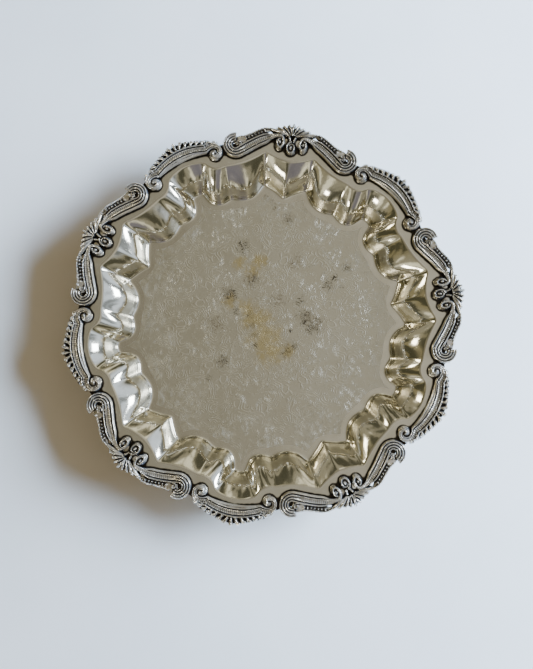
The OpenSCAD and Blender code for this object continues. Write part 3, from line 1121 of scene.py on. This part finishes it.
@dataclass
class CScroll:
    """An arched reeded band between two repeats, with a crest of scallops outside it."""

    radius: float = 141.7
    half_angle: float = 8.4
    sag: float = 0.048
    eye: tuple[float, float] = (132.6, 11.0)
    crest: int = 7
    pitch: float = 1.62
    peak: float = 152.4
    fall: float = 0.86

    def route(self) -> Points:
        """The middle of the band, from one volute's eye to the other's."""
        reach_out = np.linspace(0, self.half_angle, 30)
        arc = polar(self.radius - self.sag * reach_out**2, reach_out)
        eye = polar(*self.eye)
        reach = np.linalg.norm(arc[-1] - eye)
        start = math.atan2(arc[-1][1] - eye[1], arc[-1][0] - eye[0])
        t = np.linspace(0, 1, 60)[1:]
        angle = start - math.radians(470) * t
        r = 1.0 + (reach - 1.0) * np.maximum(0.0, 1 - t) ** 2.6
        r = np.maximum(r, 3.9 * (1 - t) ** 0.8)
        curl = eye + np.stack([np.cos(angle), np.sin(angle)], axis=1) * r[:, None]
        right = np.concatenate([arc, curl])
        return np.concatenate([(right * [-1, 1])[:0:-1], right])

    def build(self) -> bpy.types.Object:
        """Models the band, its inner rail and the crest.

        Returns:
            The C-scroll on +Y.
        """
        relief = Relief("c_scroll_casting")
        relief.sweep(
            self.route(),
            ((0, 2.0), (0.14, 4.2), (0.30, 7.4), (0.5, 8.2), (0.70, 7.4), (0.86, 4.2), (1, 2.0)),
            ((0, 5.6), (0.2, 5.0), (0.5, 5.0), (0.8, 5.0), (1, 5.6)),
            reeds=3,
            grooves=((0, 0.0), (0.12, 0.26), (0.26, 0.44), (0.74, 0.44), (0.88, 0.26), (1, 0.0)),
            rails=((0, 0.0), (0.14, 0.0), (0.24, 1.0), (0.76, 1.0), (0.86, 0.0), (1, 0.0)),
            crown=0.40,
            milling=0.06,
            step=0.3,
        )
        along = np.linspace(-8.6, 8.6, 60)
        rail = polar(136.9 - 0.02 * along**2, along)
        relief.sweep(rail, ((0, 1.9), (1, 1.9)), ((0, 3.9), (1, 3.9)), crown=0.6)
        relief.sweep(rail * 1.006, ((0, 3.0), (1, 3.0)), ((0, 2.9), (1, 2.9)), crown=0.2)
        for side in (1, -1):
            relief.ball(polar(self.eye[0], side * self.eye[1]), (5.0, 5.3), 4.6)
        web = polar(146.5 - self.sag * along**2, along * 1.2)
        relief.sweep(web, ((0, 3.0), (0.5, 7.0), (1, 3.0)), ((0, 1.6), (1, 1.6)), crown=0.2)
        for k in range(-self.crest, self.crest + 1):
            angle = k * self.pitch
            tip = self.peak - self.fall * abs(angle)
            root = tip - 7.4 + 0.5 * abs(k)
            skew = 0.6 * np.sign(k)
            relief.leaf(polar(root, angle - skew), polar(tip, angle + skew), 3.4, 4.2, bow=0.6 * np.sign(k))
            relief.ball(polar(tip - 1.7, angle + skew), (1.75, 1.75), 4.5 - 0.4 * (k % 2))
            relief.ball(polar(root + 1.6, angle + self.pitch / 2), (0.8, 0.8), 3.6)
        return relief.fuse()


@dataclass
class Border:
    """The applied border: five shells, ten S-scrolls and five C-scrolls."""

    finish: CastSilver = CastSilver("cast_silver")
    castings: list[bpy.types.Object] = field(default_factory=list)

    def paint_shade_beside_castings(self, dish: bpy.types.Object, reach: float = 1.7) -> None:
        """Stores on the dish how closely a casting stands to each vertex of its flange, as painted shade on
        the flange beside the castings.

        Args:
            dish: The dish that the castings are soldered to.
            reach: How far the painted shade spreads from a casting, in millimetres.
        """
        cell, half = 0.3, 170.0
        count = int(2 * half / cell)
        covered = np.zeros((count, count))
        for casting in self.castings:
            spots = ((coordinates(casting)[:, :2] + half) / cell).astype(int)
            covered[spots[:, 0], spots[:, 1]] = 1.0
        span = int(reach / cell)
        for _ in range(2):
            for axis in (0, 1):
                covered = sum(np.roll(covered, k, axis) for k in range(-span, span + 1)) / (2 * span + 1)
        spots = coordinates(dish)
        index = ((spots[:, :2] + half) / cell).astype(int)
        near = covered[index[:, 0], index[:, 1]] * (spots[:, 2] > 24.5)
        # painted shade on the flange beside each casting, kept under this attribute
        store(dish, "casting_shade", np.clip(near * 2.9 - 0.2, 0, 1))

    def copy_of(self, pattern: bpy.types.Object, name: str, angle: float, mirrored: bool) -> bpy.types.Object:
        """A casting like the pattern, in its own place round the border.

        Args:
            pattern: The casting to copy.
            name: The copy's name.
            angle: How far it is turned clockwise, in degrees.
            mirrored: Whether it is the pattern's mirror image.

        Returns:
            The copy, with its own mesh.
        """
        only(pattern)
        bpy.ops.object.duplicate()
        piece = bpy.context.object
        piece.name = name
        if mirrored:
            piece.scale.x = -1
            bpy.ops.object.transform_apply(location=False, rotation=False, scale=True)
            bpy.ops.object.mode_set(mode="EDIT")
            bpy.ops.mesh.select_all(action="SELECT")
            bpy.ops.mesh.normals_make_consistent(inside=False)
            bpy.ops.object.mode_set(mode="OBJECT")
        piece.rotation_euler.z = -math.radians(angle)
        bpy.ops.object.transform_apply(location=False, rotation=True, scale=False)
        return piece

    def settle(self, piece: bpy.types.Object, node: str, groups: Groups) -> None:
        """Dresses a casting and puts it in the place of its node."""
        piece.data.materials.clear()
        piece.data.materials.append(self.finish.material(groups))
        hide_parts(node)
        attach(piece, BODY)
        self.castings.append(piece)
        log.info("%s: %d faces", piece.name, len(piece.data.polygons))

    def build(self, groups: Groups) -> None:
        """Models each casting once and sets it round the border."""
        shell, scroll, arch = Shell().build(), SScroll().build(), CScroll().build()
        for n in range(REPEATS):
            angle = n * REPEAT_ANGLE
            sets = (
                (shell, "shell", angle, False),
                (scroll, "s_scroll_right", angle, False),
                (scroll, "s_scroll_left", angle, True),
                (arch, "c_scroll", angle + REPEAT_ANGLE / 2, False),
            )
            for pattern, node, turn, mirrored in sets:
                piece = self.copy_of(pattern, f"{node}_casting_{n + 1}", turn, mirrored)
                self.settle(piece, f"{node}_{n + 1}", groups)
        for pattern in (shell, scroll, arch):
            bpy.data.objects.remove(pattern)


# ---------------------------------------------------------------- the studio


@dataclass(frozen=True)
class StudioLight:
    """A square soft light, in metres and watts, and whether the silver mirrors it."""

    name: str
    place: tuple[float, float, float]
    size: float
    power: float
    tint: tuple[float, float, float]
    mirrored: bool = True


@dataclass
class Studio:
    """The floor, the camera and the light, set out along the camera's own right and up.

    The room lights the floor less, and more warmly, than the silver mirrors it: `scattered` is by how much.
    """

    roll: float = 9.1
    eye: tuple[float, float, float] = (0.010, -0.049, 0.6165)
    aim: tuple[float, float, float] = (0.0024, -0.0076, 0.0012)
    lens: float = 42.65
    scattered: tuple[float, float, float] = (0.79, 0.69, 0.57)
    lights: tuple[StudioLight, ...] = (
        StudioLight("window", (1.50, 0.34, 0.46), 1.1, 555.0, (0.44, 0.635, 1.0), mirrored=False),
        StudioLight("window_pane", (1.25, 0.25, 0.62), 0.34, 8.5, (0.84, 0.93, 1.0)),
        StudioLight("far_pane", (-1.15, 0.55, 0.70), 0.24, 2.2, (1.0, 0.93, 0.72)),
        StudioLight("near_pane", (-0.75, -1.05, 0.55), 0.22, 2.4, (1.0, 0.95, 0.82)),
    )

    def along_view(self, place: Sequence[float]) -> tuple[float, float, float]:
        """A place given by the view's right, up and height, in the salver's own frame."""
        c, s = math.cos(math.radians(self.roll)), math.sin(math.radians(self.roll))
        x, y, z = place
        return (x * c - y * s, x * s + y * c, z)

    def turn_to(self, thing: bpy.types.Object, place: Sequence[float], aim: Sequence[float]) -> None:
        """Stands a light at a place and points it at another."""
        start, end = Vector(self.along_view(place)), Vector(self.along_view(aim))
        thing.location = start
        thing.rotation_euler = (end - start).to_track_quat("-Z", "Y").to_euler()

    def add_camera(self) -> None:
        """Adds the camera, upright along the view's own up."""
        nothing_selected()
        bpy.ops.object.camera_add()
        camera = bpy.context.object
        camera.data.lens = self.lens
        camera.data.clip_start = 0.01
        start, end = Vector(self.along_view(self.eye)), Vector(self.along_view(self.aim))
        back = (start - end).normalized()
        up = Vector(self.along_view((0, 1, 0)))
        right = up.cross(back).normalized()
        up = back.cross(right)
        turn = Matrix((right, up, back)).transposed()
        camera.matrix_world = Matrix.Translation(start) @ turn.to_4x4()
        bpy.context.scene.camera = camera

    def add_lights(self) -> None:
        """Adds the soft area lights."""
        for each in self.lights:
            bpy.ops.object.light_add(type="AREA")
            light = bpy.context.object
            light.name = each.name
            light.data.size = each.size
            light.data.energy = each.power
            light.data.color = each.tint
            light.visible_glossy = each.mirrored
            self.turn_to(light, each.place, (0, 0, 0))

    def add_surroundings(self) -> None:
        """A plain room for the silver to mirror: cool on the right, warm on the left, dim below."""
        world = bpy.data.worlds.new("room")
        bpy.context.scene.world = world
        world.use_nodes = True
        world.node_tree.nodes.clear()
        sheet = Sheet(world.node_tree)
        way = sheet.add("TexCoord").outputs["Generated"]
        right = sheet.vector("DOT_PRODUCT", way, self.along_view((1, 0, 0)))
        up = sheet.vector("DOT_PRODUCT", way, self.along_view((0, 1, 0)))
        high = sheet.add("SeparateXYZ", {0: way}).outputs[2]
        level = sheet.vector("NORMALIZE", sheet.vector("MULTIPLY", way, (1.0, 1.0, 0.0)))
        raised = sheet.vector("MULTIPLY_ADD", way, (0.0, 0.0, 0.35), (0.0, 0.0, 2.6))
        tall = sheet.vector("ADD", level, raised)
        uneven = sheet.noise(tall, 3.4, 2.0, 0.6)
        low = sheet.ease(high, 0.93, 0.72)
        room = sheet.mix(sheet.ease(right, -0.25, 0.25), Tint.ROOM_LEFT.rgba, Tint.ROOM_MIDDLE.rgba)
        room = sheet.mix(sheet.ease(right, 0.3, 0.75), room, Tint.ROOM_FAR_RIGHT.rgba)
        room = sheet.mix(sheet.ease(right, -0.25, -0.7), room, Tint.ROOM_FAR_LEFT.rgba)
        room = sheet.mix(sheet.ease(up, -0.25, -0.6), room, Tint.ROOM_NEAR.rgba)
        room = sheet.mix(sheet.ease(up, 0.25, 0.7), room, Tint.ROOM_BEYOND.rgba)
        patches = sheet.times(low, sheet.ease(uneven, 0.50, 0.43))
        room = sheet.mix(sheet.times(patches, 0.88), room, Tint.ROOM_DARK.rgba)
        lit = sheet.times(low, sheet.ease(uneven, 0.56, 0.60))
        room = sheet.mix(sheet.times(lit, 0.9), room, Tint.ROOM_LIT.rgba)
        pane = sheet.times(sheet.ease(right, 0.42, 0.72), sheet.ease(high, 0.02, 0.2))
        pane = sheet.times(pane, sheet.ease(up, 0.78, 0.5))
        pane = sheet.times(pane, sheet.ease(up, -0.6, -0.3))
        pane = sheet.times(pane, sheet.ease(uneven, 0.40, 0.52, 0.2, 1.0))
        room = sheet.mix(pane, room, Tint.WINDOW_PANE.rgba)
        ahead = sheet.vector("DISTANCE", level, self.along_view((0.08, -0.997, 0.0)))
        figure = sheet.times(sheet.ease(ahead, 0.30, 0.18), sheet.ease(high, 0.12, 0.3))
        figure = sheet.times(figure, sheet.ease(high, 0.92, 0.8))
        room = sheet.mix(sheet.times(figure, 0.9), room, Tint.STANDING_SHADE.rgba)
        path = sheet.add("LightPath")
        soft = sheet.vector("MULTIPLY", room, self.scattered)
        room = sheet.mix(path.outputs["Is Diffuse Ray"], room, soft)
        room = sheet.mix(path.outputs["Is Camera Ray"], room, Tint.BACKDROP.rgba)
        background = sheet.add("Background", {"Color": room, "Strength": 1.0})
        sheet.add("OutputWorld", {"Surface": background.outputs[0]})

    def add_floor(self, groups: Groups) -> None:
        """Adds the plain pale floor."""
        nothing_selected()
        bpy.ops.mesh.primitive_plane_add(size=6)
        floor = bpy.context.object
        floor.name = "pale_floor"
        floor.data.materials.append(PaleFloor("pale_floor").material(groups))

    def build(self, groups: Groups) -> None:
        """Sets up the whole studio."""
        self.add_camera()
        self.add_surroundings()
        self.add_lights()
        self.add_floor(groups)


def main() -> None:
    """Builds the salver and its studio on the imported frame."""
    logging.basicConfig(level=logging.INFO, format="%(name)s: %(message)s")
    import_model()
    groups = Groups()
    dish = Dish()
    piece = dish.build()
    dish.dress(piece, groups)
    log.info("%s: %d faces", piece.name, len(piece.data.polygons))
    border = Border()
    border.build(groups)
    border.paint_shade_beside_castings(piece)
    Studio().build(groups)


if __name__ == "__main__":
    main()
